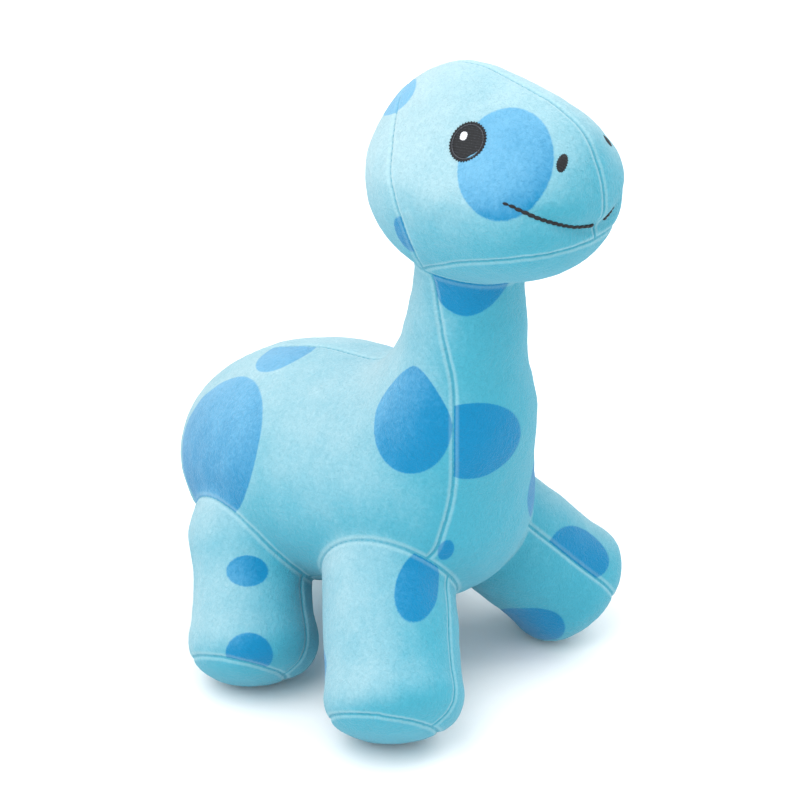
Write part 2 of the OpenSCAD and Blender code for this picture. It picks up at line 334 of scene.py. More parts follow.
def relaxed(points, faces, times):
    edges = np.concatenate([faces[:, [i, (i + 1) % 4]] for i in range(4)])
    edges = np.unique(np.sort(edges, 1), axis=0)
    count = np.bincount(edges.ravel(), minlength=len(points))[:, None]
    for _ in range(times):
        total = np.zeros_like(points)
        np.add.at(total, edges[:, 0], points[edges[:, 1]])
        np.add.at(total, edges[:, 1], points[edges[:, 0]])
        shift = (total / np.maximum(count, 1) - points) * 0.6
        normal = outward(points)
        shift -= np.sum(shift * normal, axis=1)[:, None] * normal
        points = settle(points + shift, 1)
    return points


skinPoints, skinFaces = remeshed(roughSkin(), skinPlan["roughVoxel"])
skinPoints = settle(skinPoints, 5)
fineMesh = bpy.data.meshes.new("fineSkin")
fineMesh.from_pydata(skinPoints.tolist(), [], skinFaces.tolist())
skinPoints, skinFaces = remeshed(fineMesh, skinPlan["fineVoxel"])
skinPoints = settle(skinPoints, 3)
skinPoints = relaxed(skinPoints, skinFaces, skinPlan["relaxing"])
shortWay = (np.linalg.norm(skinPoints[skinFaces[:, 0]] - skinPoints[skinFaces[:, 2]], axis=1)
            <= np.linalg.norm(skinPoints[skinFaces[:, 1]] - skinPoints[skinFaces[:, 3]], axis=1))
halves = [skinFaces[shortWay][:, [0, 1, 2]], skinFaces[shortWay][:, [0, 2, 3]],
          skinFaces[~shortWay][:, [0, 1, 3]], skinFaces[~shortWay][:, [1, 2, 3]]]
print("skin meshed:", len(skinPoints), "points")


class Skin:
    # the triangles of the whole skin, each tagged with its cloth piece and its rig stretch
    def __init__(self, points, triangles):
        self.points = points
        self.triangles = triangles
        self.cloth = np.zeros(len(triangles), int)
        self.stretch = np.zeros(len(triangles), int)

    def edgesOf(self, chosen):
        rows = self.triangles[chosen]
        edges = np.concatenate([rows[:, [i, (i + 1) % 3]] for i in range(3)])
        return np.unique(np.sort(edges, 1), axis=0)

    def split(self, edges, share):
        # puts a point on each of these edges and divides every triangle that has one
        start = self.points[edges[:, 0]]
        fresh = start + (self.points[edges[:, 1]] - start) * share[:, None]
        span = len(self.points) + 1
        keys = edges[:, 0] * span + edges[:, 1]
        order = np.argsort(keys)
        keys = keys[order]
        middle = np.full(self.triangles.shape, -1)
        for i in range(3):
            a, b = self.triangles[:, i], self.triangles[:, (i + 1) % 3]
            wanted = np.minimum(a, b) * span + np.maximum(a, b)
            at = np.minimum(np.searchsorted(keys, wanted), len(keys) - 1)
            hit = keys[at] == wanted
            middle[hit, i] = len(self.points) + order[at[hit]]
        count = (middle >= 0).sum(1)
        rows, source = [self.triangles[count == 0]], [np.where(count == 0)[0]]
        for turn in range(3):
            corner = np.roll(self.triangles, -turn, 1)
            halfway = np.roll(middle, -turn, 1)
            one = np.where((count == 1) & (halfway[:, 0] >= 0))[0]
            a, b, c = corner[one].T
            ab = halfway[one, 0]
            rows += [np.stack(t, 1) for t in ((a, ab, c), (ab, b, c))]
            source += [one] * 2
            two = np.where((count == 2) & (halfway[:, 1] < 0))[0]
            a, b, c = corner[two].T
            ab, ca = halfway[two, 0], halfway[two, 2]
            rows += [np.stack(t, 1) for t in ((a, ab, ca), (ab, b, c), (ab, c, ca))]
            source += [two] * 3
        three = np.where(count == 3)[0]
        a, b, c = self.triangles[three].T
        ab, bc, ca = middle[three].T
        rows += [np.stack(t, 1) for t in ((a, ab, ca), (ab, b, bc), (ca, bc, c), (ab, bc, ca))]
        source += [three] * 4
        source = np.concatenate(source)
        self.points = np.concatenate([self.points, fresh])
        self.triangles = np.concatenate(rows)
        self.cloth = self.cloth[source]
        self.stretch = self.stretch[source]

    def cut(self, level, chosen):
        # cuts the chosen triangles where level is nought; True on the side above
        self.stretch = self.stretch * 2 + chosen
        level = np.where(np.abs(level) < skinPlan["snap"], 0, level)
        edges = self.edgesOf(chosen)
        first, last = level[edges[:, 0]], level[edges[:, 1]]
        crossing = first * last < 0
        edges, first, last = edges[crossing], first[crossing], last[crossing]
        self.split(edges, first / (first - last))
        level = np.concatenate([level, np.zeros(len(edges))])
        inside = self.stretch % 2 == 1
        self.stretch = self.stretch // 2
        return inside & (level[self.triangles].sum(1) > 0)


skin = Skin(skinPoints, np.concatenate(halves))

# where the seams run: heights and depths are from the neck's or the head's root
seamPlan = {
    "gussetHeights": (-54, -44, -36, -24, -1, 16, 34, 48, 56, 64, 85),
    "gussetDepths": (-15, -15.9, -16.4, -18.1, -19.5, -19.1, -14.5, -10, -8.4, -7.6, -5),
    "bellyHalfWidth": 34, "bellyTop": -42, "bellyEnd": 102, "bellyRun": 50, "bellyEdge": 6,
    "gussetSoft": 16, "gussetSpan": (-60, 90), "jawSpan": (-60, 10), "backSpan": (-5, 80), "tailRival": 3,
    "jawDepths": (0, -22.6, -38, -50.8, -54.5), "jawHeights": (4, 14.1, 18.1, 20.4, 20.5),
    "backHeights": (2, 6.8, 21.1, 32.1, 42.6, 60.4, 74), "backDepths": (5, 3.6, 2.7, 5.4, 14.1, 24, 36),
    "frontSector": 0.65, "rearSector": 0.45,
    "lowerNeckFrom": 27, "upperNeckFrom": 55,
}
neckLean = unit((0, -0.35, 0.937))
neckAxis = unit([joint["axis"] for joint in frame["joints"] if joint["name"] == "neck_turn"][0])

clothNames = ["side_right", "side_left", "gusset", "face_panel_right", "face_panel_left",
              "head_back_right", "head_back_left", "chin_panel", "tail_panel_right", "tail_panel_left"]
clothNames += [f"{name}_{part}" for name in legs for part in ("outer", "inner", "sole")]
clothNumber = {name: number for number, name in enumerate(clothNames)}
# numbers used only while cutting: sewn cloths count from done, parts still whole from holding
done, headBack = 50, 200
holding = {"head": 100, "tail": 101, **{name: 102 + i for i, name in enumerate(legs)}}


def gussetLevel(points):
    near = points - neckRoot
    depth = np.polyval(np.polyfit(seamPlan["gussetHeights"], seamPlan["gussetDepths"], 4),
                       np.clip(near[:, 2], *seamPlan["gussetSpan"]))
    front = depth - near[:, 1]
    run = np.clip((seamPlan["bellyEnd"] - near[:, 1]) / seamPlan["bellyRun"], 0, 1)
    width = seamPlan["bellyHalfWidth"] * np.sqrt(run)
    below = trimmed(np.abs(near[:, 0]) - width, near[:, 2] - seamPlan["bellyTop"], seamPlan["bellyEdge"])
    below = np.maximum(below, near[:, 1] - seamPlan["bellyEnd"])
    return -joined(-front, below, seamPlan["gussetSoft"])


def jawLevel(points):
    near = points - headRoot
    fit = np.polyfit(seamPlan["jawDepths"], seamPlan["jawHeights"], 2)
    return np.polyval(fit, np.clip(near[:, 1], *seamPlan["jawSpan"])) - near[:, 2]


def backLevel(points):
    near = points - headRoot
    fit = np.polyfit(seamPlan["backHeights"], seamPlan["backDepths"], 3)
    return near[:, 1] - np.polyval(fit, np.clip(near[:, 2], *seamPlan["backSpan"]))


for name, number in holding.items():
    fields = partFields(skin.points)
    rival = np.minimum.reduce([fields[other] for other in fields if other != name])
    if name == "tail":
        rival = rival + seamPlan["tailRival"]
    onLimb = skin.cut(rival - fields[name], skin.cloth == 0)
    skin.cloth[onLimb] = number

inFront = skin.cut(gussetLevel(skin.points), skin.cloth == 0)
skin.cloth[inFront] = done + clothNumber["gusset"]
onLeft = skin.cut(skin.points[:, 0], skin.cloth == 0)
skin.cloth[onLeft] = done + clothNumber["side_left"]
skin.cloth[skin.cloth == 0] = done + clothNumber["side_right"]

head = holding["head"]
atBack = skin.cut(backLevel(skin.points), skin.cloth == head)
skin.cloth[atBack] = headBack
underJaw = skin.cut(jawLevel(skin.points), skin.cloth == head)
skin.cloth[underJaw] = done + clothNumber["chin_panel"]
for held, right, left in ((head, "face_panel_right", "face_panel_left"),
                          (headBack, "head_back_right", "head_back_left")):
    onLeft = skin.cut(skin.points[:, 0], skin.cloth == held)
    skin.cloth[onLeft] = done + clothNumber[left]
    skin.cloth[skin.cloth == held] = done + clothNumber[right]

tailTip = np.array(tailShape["beads"][-1][0])
tailSide = unit((-tailTip[1], tailTip[0], 0))
onRight = skin.cut((skin.points - tailRoot) @ tailSide - 1, skin.cloth == holding["tail"])
skin.cloth[onRight] = done + clothNumber["tail_panel_right"]
skin.cloth[skin.cloth == holding["tail"]] = done + clothNumber["tail_panel_left"]

for name, leg in legs.items():
    held = holding[name]
    onSole = skin.cut((skin.points - leg["hip"]) @ leg["soleAim"] - leg["soleSeam"], skin.cloth == held)
    skin.cloth[onSole] = done + clothNumber[f"{name}_sole"]
    near = skin.points - leg["hip"]
    ahead = near @ leg["forward"]
    outer = -near @ leg["inward"] - seamPlan["frontSector"] * np.maximum(ahead, 0)
    outer += seamPlan["rearSector"] * np.maximum(-ahead, 0)
    onOuter = skin.cut(outer, skin.cloth == held)
    skin.cloth[onOuter] = done + clothNumber[f"{name}_outer"]
    skin.cloth[skin.cloth == held] = done + clothNumber[f"{name}_inner"]
skin.cloth -= done

# the neck's cloth runs on through the rig's stretches without a seam
bodyCloths = [clothNumber[name] for name in ("side_right", "side_left", "gusset")]
lower = skin.cut((skin.points - neckRoot) @ neckLean - seamPlan["lowerNeckFrom"],
                 np.isin(skin.cloth, bodyCloths))
skin.stretch[lower] = 1
upper = skin.cut((skin.points - neckRoot) @ neckAxis - seamPlan["upperNeckFrom"], skin.stretch == 1)
skin.stretch[upper] = 2
print("panels cut:", len(skin.triangles), "triangles")


def seamEdges():
    rows = skin.triangles
    edges = np.concatenate([rows[:, [i, (i + 1) % 3]] for i in range(3)])
    cloths = np.tile(skin.cloth, 3)
    edges = np.sort(edges, 1)
    order = np.lexsort((edges[:, 1], edges[:, 0]))
    edges, cloths = edges[order], cloths[order]
    same = np.all(edges[:-1] == edges[1:], axis=1)
    return edges[:-1][same & (cloths[:-1] != cloths[1:])]


def seamTree(edges):
    marks = []
    for t in np.arange(0, 1, 0.2):
        marks.append(skin.points[edges[:, 0]] * (1 - t) + skin.points[edges[:, 1]] * t)
    marks = np.concatenate(marks)
    tree = kdtree.KDTree(len(marks))
    for number, mark in enumerate(marks):
        tree.insert(mark, number)
    tree.balance()
    return tree


def seamGaps(points, tree):
    nearest = np.zeros_like(points)
    gaps = np.zeros(len(points))
    for number, point in enumerate(points):
        mark, _, gap = tree.find(point)
        nearest[number] = mark
        gaps[number] = gap
    return gaps, nearest


# finer triangles beside the seams, then everything back on the surface
finePlan = {"beside": 3.6, "longest": 0.85}
tree = seamTree(seamEdges())
gaps, nearest = seamGaps(skin.points, tree)
close = gaps < finePlan["beside"]
edges = skin.edgesOf(np.ones(len(skin.triangles), bool))
lengths = np.linalg.norm(skin.points[edges[:, 0]] - skin.points[edges[:, 1]], axis=1)
chosen = close[edges[:, 0]] & close[edges[:, 1]] & (lengths > finePlan["longest"])
skin.split(edges[chosen], np.full(chosen.sum(), 0.5))
skin.points = settle(skin.points, 1)
gaps, nearest = seamGaps(skin.points, seamTree(seamEdges()))
print("seams refined:", len(skin.points), "points")

# sewn shape: sunk seams, puckers beside them, and soft lumps of stuffing
reliefPlan = {
    "seamDepth": 0.6, "seamWidth": 0.9, "puff": 0.3, "puffReach": 5.0,
    "pucker": 0.3, "puckerLength": 3.0, "puckerReach": 3.2,
    "lump": 0.55, "lumpSize": 24.0, "dimple": 0.28, "dimpleSize": 7.0,
    "pile": 0.07, "pileSize": 0.8,
}


def noiseAt(points, size, seed=0.0):
    shift = Vector((seed, seed * 0.7, -seed))
    return np.array([noise.noise(Vector(point) / size + shift) for point in points])


normals = outward(skin.points)
relief = -reliefPlan["seamDepth"] * np.exp(-np.square(gaps / reliefPlan["seamWidth"]))
relief += reliefPlan["puff"] * (1 - np.exp(-gaps / reliefPlan["puffReach"]))
fade = np.exp(-gaps / reliefPlan["puckerReach"]) * (1 - np.exp(-np.square(gaps / 0.9)))
relief += reliefPlan["pucker"] * noiseAt(nearest, reliefPlan["puckerLength"], 3.1) * fade
relief += reliefPlan["lump"] * noiseAt(skin.points, reliefPlan["lumpSize"], 7.7)
relief += reliefPlan["dimple"] * noiseAt(skin.points, reliefPlan["dimpleSize"], 11.3)
relief += reliefPlan["pile"] * noiseAt(skin.points, reliefPlan["pileSize"], 1.9)
onGround = np.clip(skin.points[:, 2] / 3, 0, 1)
relief *= np.where(relief > 0, onGround, 1)
skinRest = skin.points.copy()
skinShaped = skin.points + normals * relief[:, None]
skinShaped[:, 2] = np.maximum(skinShaped[:, 2], 0.05)


def pointNormals(points, triangles):
    a, b, c = (points[triangles[:, i]] for i in range(3))
    face = np.cross(b - a, c - a)
    total = np.zeros_like(points)
    for i in range(3):
        np.add.at(total, triangles[:, i], face)
    return total / np.maximum(np.linalg.norm(total, axis=1), 1e-9)[:, None]


shapedNormals = pointNormals(skinShaped, skin.triangles)
print("sewn shape ready")

# printed spots by cloth: offset from its joint in mm, half sizes, turn in degrees, how pointed the top is
spotPlan = {
    "side_right": (
        ((-29.9, -2.5, 13.6), (16.2, 20), 4, 0.42),
        ((-43.5, 86, -20), (27, 30), -22, 0),
        ((-6, 76, 11), (15, 12), 0, 0),
    ),
    "gusset": (
        ((-19.5, -23.8, 7.3), (19, 14.8), 0, 0),
        ((-15.5, -18.5, 70), (17, 11.5), 0, 0),
        ((-27.9, -18.4, -36.2), (3.0, 4.4), -15, 0),
        ((24, -21, -28), (15, 13), 10, 0),
        ((10, 30, -78), (18, 13), 30, 0),
        ((-12, 78, -74), (12, 16), 10, 0),
    ),
    "side_left": (
        ((33, 12, 4), (17, 20), -8, 0.35),
        ((42, 70, -22), (24, 19), 15, 0),
        ((30, 44, 4), (12, 9), 25, 0),
        ((17, 5, 48), (9, 12), 5, 0),
        ((20, 108, -30), (12, 14), 8, 0),
    ),
    "face_panel_right": (
        ((-25.2, -31.9, 52.6), (16.6, 20.4), 4, 0),
        ((-9.5, 26, 58.5), (12, 8), 35, 0),
    ),
    "face_panel_left": (
        ((27, -24, 55), (16, 18), -10, 0),
    ),
    "head_back_right": (
        ((-33.6, 3.2, 18), (4.6, 8.4), 6, 0),
        ((-9.5, 26, 58.5), (12, 8), 35, 0),
    ),
    "head_back_left": (
        ((24, 28, 36), (12, 15), -12, 0),
    ),
    "chin_panel": (
        ((14, -22, 8), (9, 7), 0, 0),
    ),
    "front_leg_right_outer": (
        ((-11.5, -23, 8.5), (8.5, 14.5), -42, 0),
        ((-38, 8, -28), (8, 9), 0, 0),
    ),
    "front_leg_left_outer": (
        ((14, -36.5, -10.5), (10.5, 15), 58, 0),
        ((42, -4, -20), (8, 7), 0, 0),
    ),
    "front_leg_left_inner": (
        ((0.5, -24, -41), (14, 11), 10, 0),
    ),
    "hind_leg_right_outer": (
        ((-22.9, -17.3, 0.2), (8, 6), 0, 0),
        ((-39.3, -31.5, -25.5), (9, 8.5), 0, 0),
    ),
    "hind_leg_left_outer": (
        ((24, -6, -8), (9, 12), 20, 0),
        ((30, 18, -34), (8, 6), 0, 0),
    ),
    "hind_leg_right_inner": (
        ((-8, -22, -34), (8, 8), 0, 0),
    ),
    "tail_panel_right": (
        ((12, 20, 4), (10, 9), 0, 0),
    ),
    "tail_panel_left": (
        ((34, 16, -16), (7, 8), 0, 0),
    ),
}


def spotRoot(cloth):
    if cloth.startswith("tail"):
        return tailRoot
    if "_leg_" in cloth:
        return pivot[cloth.rsplit("_", 1)[0] + "_swing"]
    return neckRoot if cloth in ("side_right", "side_left", "gusset") else headRoot


def tangentFrame(at, turn):
    point = settle(np.array([at], float), 6, 6.0)
    normal = outward(point)[0]
    up = np.array((0, 0, 1.0)) if abs(normal[2]) < 0.93 else np.array((0, 1.0, 0))
    across = unit(np.cross(up, normal))
    up = np.cross(normal, across)
    c, s = math.cos(math.radians(turn)), math.sin(math.radians(turn))
    return point[0], across * c + up * s, up * c - across * s, normal


def spotField(points, cloth):
    # distance inside the nearest printed spot of this cloth, in mm
    best = np.full(len(points), -30.0)
    for at, (width, height), turn, pointed in spotPlan.get(cloth, ()):
        centre, across, up, normal = tangentFrame(spotRoot(cloth) + at, turn)
        near = points - centre
        x, y, depth = near @ across, near @ up, near @ normal
        narrow = 1 - pointed * np.clip(y / height, 0, 1) ** 1.4
        radius = np.sqrt(np.square(x / (width * narrow)) + np.square(y / height))
        inside = (1 - radius) * min(width, height)
        inside = np.where(np.abs(depth) < max(width, height) * 1.1, inside, -30)
        best = np.maximum(best, inside)
    return best


# maths on shader sockets, written as plain expressions
class Wire:
    def __init__(self, finish, socket):
        self.finish = finish
        self.socket = socket

    def maths(self, operation, first, second=0.0):
        return self.finish.add("ShaderNodeMath", {"operation": operation}, {0: first, 1: second})

    def __add__(self, other):
        return self.maths("ADD", self, other)

    def __radd__(self, other):
        return self.maths("ADD", other, self)

    def __sub__(self, other):
        return self.maths("SUBTRACT", self, other)

    def __rsub__(self, other):
        return self.maths("SUBTRACT", other, self)

    def __mul__(self, other):
        return self.maths("MULTIPLY", self, other)

    def __rmul__(self, other):
        return self.maths("MULTIPLY", other, self)

    def between(self, low, high, toLow=0.0, toHigh=1.0):
        sockets = {"Value": self, "From Min": low, "From Max": high, "To Min": toLow, "To Max": toHigh}
        return self.finish.add("ShaderNodeMapRange", {"interpolation_type": "SMOOTHSTEP"}, sockets)


class Finish:
    # one material: nodes are added by type, settings and socket values
    def __init__(self, name):
        self.material = bpy.data.materials.new(name)
        self.material.use_nodes = True
        self.tree = self.material.node_tree
        self.shader = self.tree.nodes["Principled BSDF"]

    def join(self, value, socket):
        if isinstance(value, Wire):
            self.tree.links.new(value.socket, socket)
        else:
            socket.default_value = value

    def add(self, kind, settings, sockets, output=0):
        node = self.tree.nodes.new(kind)
        for name, value in settings.items():
            setattr(node, name, value)
        for name, value in sockets.items():
            self.join(value, node.inputs[name])
        return Wire(self, node.outputs[output])

    def read(self, attribute, output="Fac"):
        return self.add("ShaderNodeAttribute", {"attribute_name": attribute}, {}, output)

    def grain(self, where, size, detail=2.0, rough=0.5, distortion=0.0):
        sockets = {"Vector": where, "Scale": 1 / size, "Detail": detail, "Roughness": rough,
                   "Distortion": distortion}
        return self.add("ShaderNodeTexNoise", {}, sockets)

    def blend(self, share, first, second, way="MIX"):
        settings = {"data_type": "RGBA", "blend_type": way}
        return self.add("ShaderNodeMix", settings, {0: share, 6: first, 7: second}, 2)

    def stretched(self, where, scale, turn=(0, 0, 0)):
        sockets = {"Vector": where, "Scale": scale, "Rotation": turn}
        return self.add("ShaderNodeMapping", {}, sockets)

    def bump(self, height, strength=1.0):
        return self.add("ShaderNodeBump", {}, {"Strength": strength, "Distance": millimetre,
                                                "Height": height})

    def dress(self, **sockets):
        for name, value in sockets.items():
            words = "".join(" " + letter if letter.isupper() else letter for letter in name)
            self.join(value, self.shader.inputs[words.strip().title().replace("Ior", "IOR")])
        return self.material


# the aqua and the spot colours run from deep, as painted shade, to pale, as painted light, with random
# mottling between
plushLook = {
    "aquaShadeAndMottleDeep": (0.05, 0.34, 0.46, 1), "aquaLightAndMottlePale": (0.42, 0.59, 0.64, 1),
    "spotShadeAndMottleDeep": (0.0, 0.2, 0.41, 1), "spotLightAndMottlePale": (0.15, 0.41, 0.62, 1),
    "seamPileAndHighlight": (0.45, 0.66, 0.70, 1), "seamGrooveShade": (0.02, 0.22, 0.32, 1),
    "sheen": 0.25, "sheenRoughness": 0.5, "roughness": 0.95,
}


def plushFinish():
    finish = Finish("plushCloth")
    where = finish.read("rest", "Vector")
    spot = finish.read("spot")
    gap = finish.read("seamGap")
    lift = finish.read("lift")
    fibre = finish.grain(where, 0.55, 3.0, 0.65)
    tuft = finish.grain(where, 1.5, 2.0, 0.6, 0.6)
    nap = finish.grain(finish.stretched(where, (1, 1, 0.7)), 9.0, 3.0, 0.5, 0.3)
    shade = finish.grain(where, 26.0, 2.0)
    mask = (spot + (fibre - 0.5) * 0.9).between(-0.32, 0.32)
    # painted light and shade from the facing of the cloth, with random mottling on top
    paintedShadeAndMottle = lift + (nap - 0.5) * 0.22 + (shade - 0.5) * 0.25 + (tuft - 0.5) * 0.25
    aqua = finish.blend(paintedShadeAndMottle.between(0.0, 1.2), plushLook["aquaShadeAndMottleDeep"], plushLook["aquaLightAndMottlePale"])
    blue = finish.blend(paintedShadeAndMottle.between(0.25, 0.95), plushLook["spotShadeAndMottleDeep"], plushLook["spotLightAndMottlePale"])
    cloth = finish.blend(mask, aqua, blue)
    # both sides of each seam are painted paler: compressed pile, and a painted highlight on the seam ridges
    beside = gap.between(0.4, 0.9) * (1 - gap.between(1.1, 2.4))
    cloth = finish.blend(beside * 0.3 * (1 - mask * 0.5), cloth, plushLook["seamPileAndHighlight"])
    # painted shade: the seam groove is painted darker
    cloth = finish.blend((1 - gap.between(0.1, 0.6)) * 0.25, cloth, plushLook["seamGrooveShade"])
    speck = (fibre - 0.5) * 0.8 + (tuft - 0.5) * 0.35 + 1.0
    cloth = finish.blend(0.5, cloth, finish.add("ShaderNodeCombineColor", {}, {0: speck, 1: speck, 2: speck}),
                         "MULTIPLY")
    height = fibre * 0.45 + tuft * 0.45 + nap * 0.3
    finish.shader.inputs["Specular IOR Level"].default_value = 0.15
    return finish.dress(baseColor=cloth, roughness=plushLook["roughness"], sheenWeight=plushLook["sheen"],
                        sheenRoughness=plushLook["sheenRoughness"], sheenTint=(1, 0.97, 0.95, 1),
                        normal=finish.bump(height, 0.9))


def threadFinish(name, dark, strandAndGlintPale, strand, sheen):
    finish = Finish(name)
    weave = finish.read("weave", "Vector")
    strands = finish.add("ShaderNodeTexWave", {"wave_type": "BANDS", "bands_direction": "Y"},
                         {"Vector": weave, "Scale": 1 / strand, "Distortion": 1.2, "Detail": 2.0,
                          "Detail Scale": 1.5}, 1)
    lint = finish.grain(finish.stretched(weave, (0.5, 1, 1)), 0.35, 3.0, 0.7)
    # paler strands and lint specks: thread tone, and painted glints on the thread
    colour = finish.blend(lint.between(0.45, 0.8) * strands, dark, strandAndGlintPale)
    finish.shader.inputs["Specular IOR Level"].default_value = 0.35
    return finish.dress(baseColor=colour, roughness=0.5 + lint * 0.25, sheenWeight=sheen,
                        sheenRoughness=0.4, normal=finish.bump(strands * 0.12 + lint * 0.12, 0.9))


plushCloth = plushFinish()
blackThread = threadFinish("blackThread", (0.004, 0.005, 0.007, 1), (0.07, 0.08, 0.10, 1), 3.2, 0.03)
greyThread = threadFinish("greyThread", (0.05, 0.055, 0.065, 1), (0.22, 0.24, 0.28, 1), 3.2, 0.1)
whiteThread = threadFinish("whiteThread", (0.72, 0.75, 0.8, 1), (0.97, 0.98, 1, 1), 3.2, 0.2)
seamThread = threadFinish("seamThread", (0.04, 0.30, 0.42, 1), (0.13, 0.48, 0.60, 1), 3.2, 0.3)
print("finishes ready")


def newPiece(name, points, faces, material, smooth=True):
    mesh = bpy.data.meshes.new(name)
    mesh.from_pydata((points * millimetre).tolist(), [], [tuple(face) for face in faces])
    mesh.polygons.foreach_set("use_smooth", [smooth] * len(mesh.polygons))
    mesh.materials.append(material)
    piece = bpy.data.objects.new(name, mesh)
    bpy.context.scene.collection.objects.link(piece)
    return piece


def store(piece, name, values):
    kind = "FLOAT_VECTOR" if np.ndim(values) == 2 else "FLOAT"
    attribute = piece.data.attributes.new(name, kind, "POINT")
    key = "vector" if kind == "FLOAT_VECTOR" else "value"
    attribute.data.foreach_set(key, np.asarray(values, np.float32).ravel())


# each stretch of cloth: the bodies it joins, and the span where it turns between them
rigPlan = {
    "lowerTurn": (4, 26), "middleTurn": (34, 54), "upperTurn": (56, 71),
    "legRun": 17, "legClear": 0.5, "tailRun": 18, "rimDepth": 2.2,
}


def seamPointsOf(cloths):
    # points that this group of cloths shares with other cloths
    inside = np.isin(skin.cloth, cloths)
    mine = np.unique(skin.triangles[inside])
    theirs = np.unique(skin.triangles[~inside])
    return np.intersect1d(mine, theirs)


moving = {}
for body, onward, axis, turn in (("trunk", "neck_lower", neckLean, "lowerTurn"),
                                 ("neck_lower", "neck_upper", neckAxis, "middleTurn"),
                                 ("neck_upper", "head", neckAxis, "upperTurn")):
    start, end = rigPlan[turn]
    moving[body] = (body, onward, neckRoot + axis * start, neckRoot + axis * end)
limbCloths = {name: [clothNumber[f"{name}_{part}"] for part in ("outer", "inner", "sole")] for name in legs}
limbCloths["tail"] = [clothNumber["tail_panel_right"], clothNumber["tail_panel_left"]]
for name, cloths in limbCloths.items():
    ring = skinRest[seamPointsOf(cloths)]
    middle = ring.mean(0)
    normal = np.linalg.svd(ring - middle)[2][-1]
    aim = legs[name]["along"] if name in legs else unit(tailTip)
    normal *= np.sign(normal @ aim)
    first = ((ring - middle) @ normal).max() + rigPlan["legClear"]
    run = rigPlan["legRun"] if name in legs else rigPlan["tailRun"]
    moving[name] = ("trunk", name, middle + normal * first, middle + normal * (first + run))
    print("ring of", name, "flat to", round(float(first), 1), "mm")


def rigUp(piece, body):
    # a piece of the head is attached to the head; the others only have their placement baked into the mesh
    if body == "head":
        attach(piece, "head")
        return
    a, b, start, end = moving[body]
    Vector(start * millimetre)
    Vector(end * millimetre)
    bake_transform(piece)


# painted light and shade: the cloth is painted paler on top, on the outer sides and towards the back, and
# most on the head, where the light falls, and deeper below and in front, where shade falls
paintedLightPlan = {"up": 0.6, "outer": 0.3, "back": 0.3, "head": 0.18, "headFrom": -8, "headOver": 20}


def paintedLightOf(rest):
    facing = outward(rest)
    head = np.clip((rest[:, 2] - headRoot[2] - paintedLightPlan["headFrom"]) / paintedLightPlan["headOver"], 0, 1)
    return (facing[:, 2] * paintedLightPlan["up"] + np.abs(facing[:, 0]) * paintedLightPlan["outer"]
            + facing[:, 1] * paintedLightPlan["back"] + head * paintedLightPlan["head"])


def panelPiece(name, cloth, stretch, body, replaced):
    chosen = (skin.cloth == cloth) & (skin.stretch == stretch)
    rows = skin.triangles[chosen]
    used, rows = np.unique(rows, return_inverse=True)
    rows = rows.reshape(-1, 3)
    points, normals = skinShaped[used], shapedNormals[used]
    rest, gap = skinRest[used], gaps[used]
    # the seam edge is turned in, as a sewn allowance
    edges = np.concatenate([rows[:, [i, (i + 1) % 3]] for i in range(3)])
    keys = np.sort(edges, 1)
    _, where, count = np.unique(keys, axis=0, return_index=True, return_counts=True)
    open_ = edges[where[count == 1]]
    rimPoints, place = np.unique(open_, return_inverse=True)
    place = place.reshape(-1, 2) + len(points)
    rim = points[rimPoints] - normals[rimPoints] * rigPlan["rimDepth"]
    faces = np.concatenate([rows, np.stack([open_[:, 1], open_[:, 0], place[:, 0]], 1),
                            np.stack([open_[:, 1], place[:, 0], place[:, 1]], 1)])
    points = np.concatenate([points, rim])
    piece = newPiece(name, points, faces, plushCloth)
    store(piece, "rest", np.concatenate([rest, rest[rimPoints]]))
    store(piece, "seamGap", np.concatenate([gap, gap[rimPoints] * 0]))
    spots = spotField(rest, clothNames[cloth])
    store(piece, "spot", np.concatenate([spots, spots[rimPoints]]))
    # painted light and shade, kept on each point
    lift = paintedLightOf(rest)
    store(piece, "lift", np.concatenate([lift, lift[rimPoints]]))
    piece.data.normals_split_custom_set_from_vertices(np.concatenate([normals, normals[rimPoints]]).tolist())
    rigUp(piece, body)
    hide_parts(*replaced)
    return piece


for part, stretch, body in (("trunk", 0, "trunk"), ("neck_lower", 1, "neck_lower"),
                            ("neck_upper", 2, "neck_upper")):
    for cloth in ("side_right", "side_left", "gusset"):
        node = "belly_gusset" if (part, cloth) == ("trunk", "gusset") else f"{part}_{cloth}"
        replaced = [node] + ([f"{part}_stuffing"] if cloth == "side_right" else [])
        panelPiece(f"{node}_cloth", clothNumber[cloth], stretch, body, replaced)
panelRows = [(cloth, "head", "face_panel_right") for cloth in clothNames[3:8]]
panelRows += [(cloth, "tail", "tail_panel_right") for cloth in clothNames[8:10]]
panelRows += [(f"{name}_{part}", name, f"{name}_outer") for name in legs
              for part in ("outer", "inner", "sole")]
for cloth, body, withStuffing in panelRows:
    replaced = [cloth] + ([f"{body}_stuffing"] if cloth == withStuffing else [])
    panelPiece(f"{cloth}_cloth", clothNumber[cloth], 0, body, replaced)
print("cloth pieces made")

# seam stitches: short dashes of thread in every seam
stitchPlan = {"length": 1.7, "width": 0.42, "pitch": 2.5, "sink": 0.25}


def seamRuns(edges):
    # the seam's edges as runs of points, each from one end or corner to the next
    neighbours = {}
    for a, b in edges.tolist():
        neighbours.setdefault(a, []).append(b)
        neighbours.setdefault(b, []).append(a)
    corners = [point for point, others in neighbours.items() if len(others) != 2]
    used = set()
    runs = []
    for start in corners + list(neighbours):
        for following in neighbours[start]:
            if (start, following) in used:
                continue
            run = [start, following]
            used.update({(start, following), (following, start)})
            while len(neighbours[run[-1]]) == 2:
                onward = [other for other in neighbours[run[-1]] if (run[-1], other) not in used]
                if not onward:
                    break
                used.update({(run[-1], onward[0]), (onward[0], run[-1])})
                run.append(onward[0])
            runs.append(run)
    return runs


